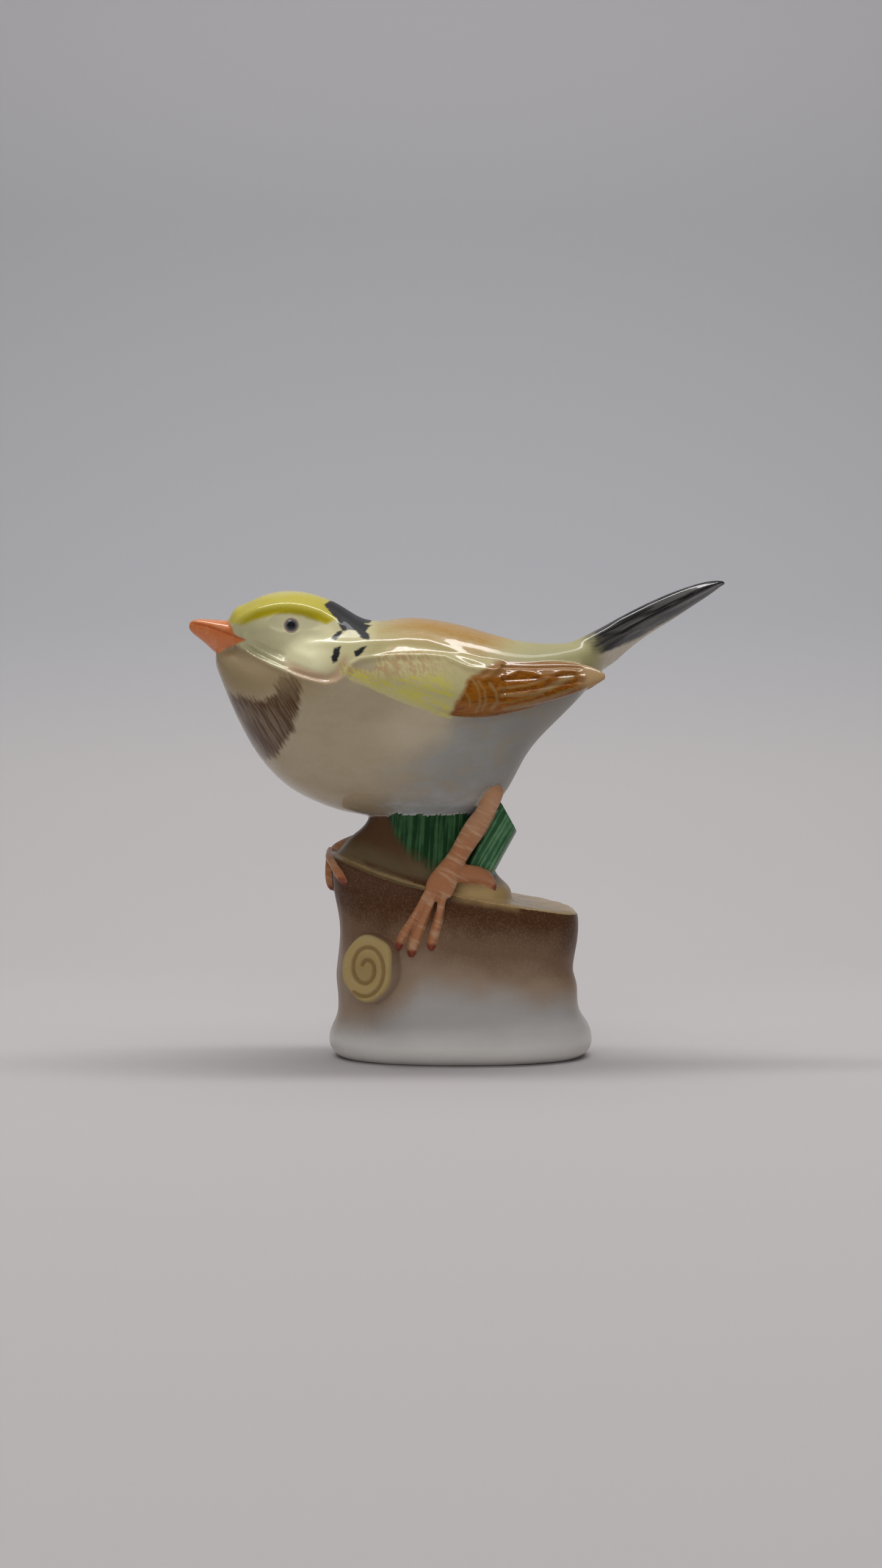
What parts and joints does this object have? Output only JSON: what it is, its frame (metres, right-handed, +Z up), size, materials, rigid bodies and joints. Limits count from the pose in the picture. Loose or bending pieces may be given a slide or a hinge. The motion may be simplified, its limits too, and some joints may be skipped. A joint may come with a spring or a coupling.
{
  "type": "porcelain songbird figurine",
  "caption": "Hand-painted glazed porcelain songbird with raised tail perched on a sawn tree stump with leaves and a cut branch, standing on a white plinth.",
  "frame": {"origin": "on the surface the figurine stands on, under the middle of its length and of its plinth", "axes": "+Z up, -X the way the beak points, +X towards the tail, -Y the bird's left side"},
  "size_m": [0.099, 0.0366, 0.0875],
  "materials": {
    "body_glaze": "gloss",
    "beak_glaze": "gloss",
    "eye_enamel": "gloss",
    "wing_glaze": "gloss",
    "tail_glaze": "gloss",
    "stump_glaze": "gloss",
    "stub_glaze": "gloss",
    "leaf_glaze": "gloss",
    "leg_glaze": "gloss",
    "toe_glaze": "gloss"
  },
  "bodies": {
    "root": {"bird_body": "body_glaze", "beak": "beak_glaze", "left_eye": "eye_enamel", "right_eye": "eye_enamel", "left_wing": "wing_glaze", "right_wing": "wing_glaze", "tail": "tail_glaze", "stump": "stump_glaze", "branch_stub": "stub_glaze", "front_leaf": "leaf_glaze", "tail_leaf": "leaf_glaze", "left_leg": "leg_glaze", "right_leg": "leg_glaze", "left_front_toes": "toe_glaze", "right_front_toes": "toe_glaze", "left_hind_toe": "toe_glaze", "right_hind_toe": "toe_glaze"}
  },
  "joints": []
}
